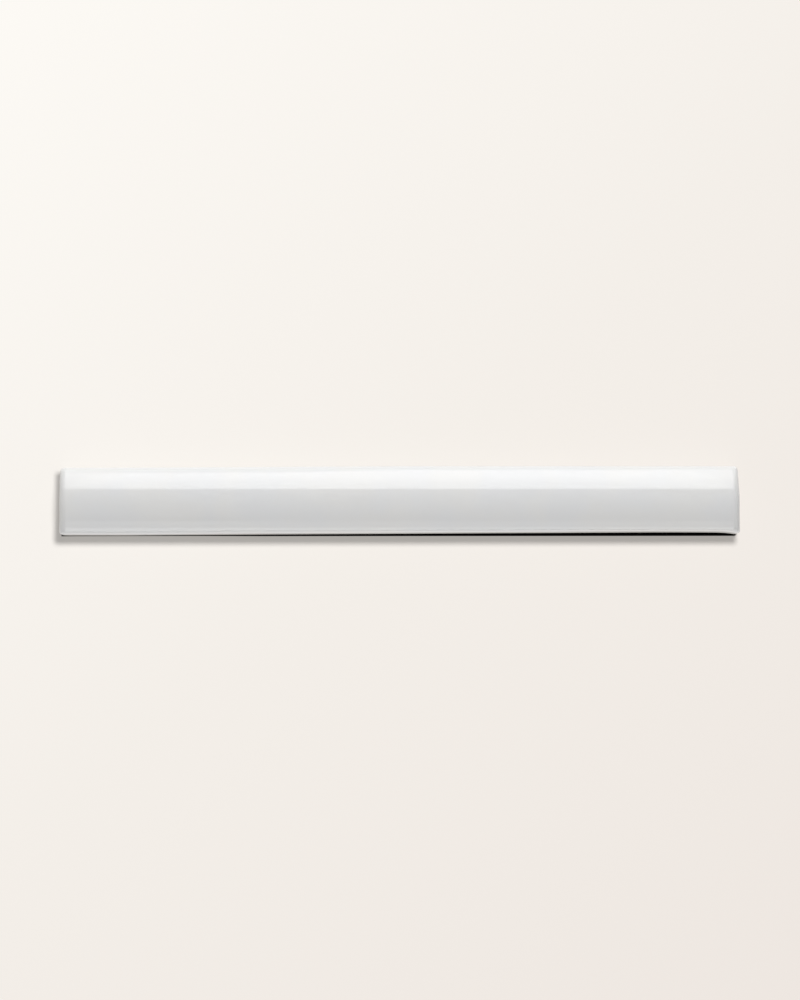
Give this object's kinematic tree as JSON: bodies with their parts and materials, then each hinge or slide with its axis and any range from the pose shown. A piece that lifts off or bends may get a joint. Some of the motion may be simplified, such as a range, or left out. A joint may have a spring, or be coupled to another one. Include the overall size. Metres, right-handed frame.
{
  "type": "ceramic bead moulding",
  "caption": "Glazed ceramic bead moulding with an arched face, rolled ends and a flat keyed back, for edging or banding a tiled wall.",
  "frame": {"origin": "centre of the flat back face", "axes": "+X along the length, +Y across the width towards the edge that is uppermost in the picture, +Z out of the back towards the crown"},
  "size_m": [0.2, 0.02, 0.012],
  "materials": {
    "glazed_white": "glossy white glaze over a matt off-white biscuit that shows on the back"
  },
  "bodies": {
    "root": {"bead_moulding": "glazed_white"}
  },
  "joints": []
}
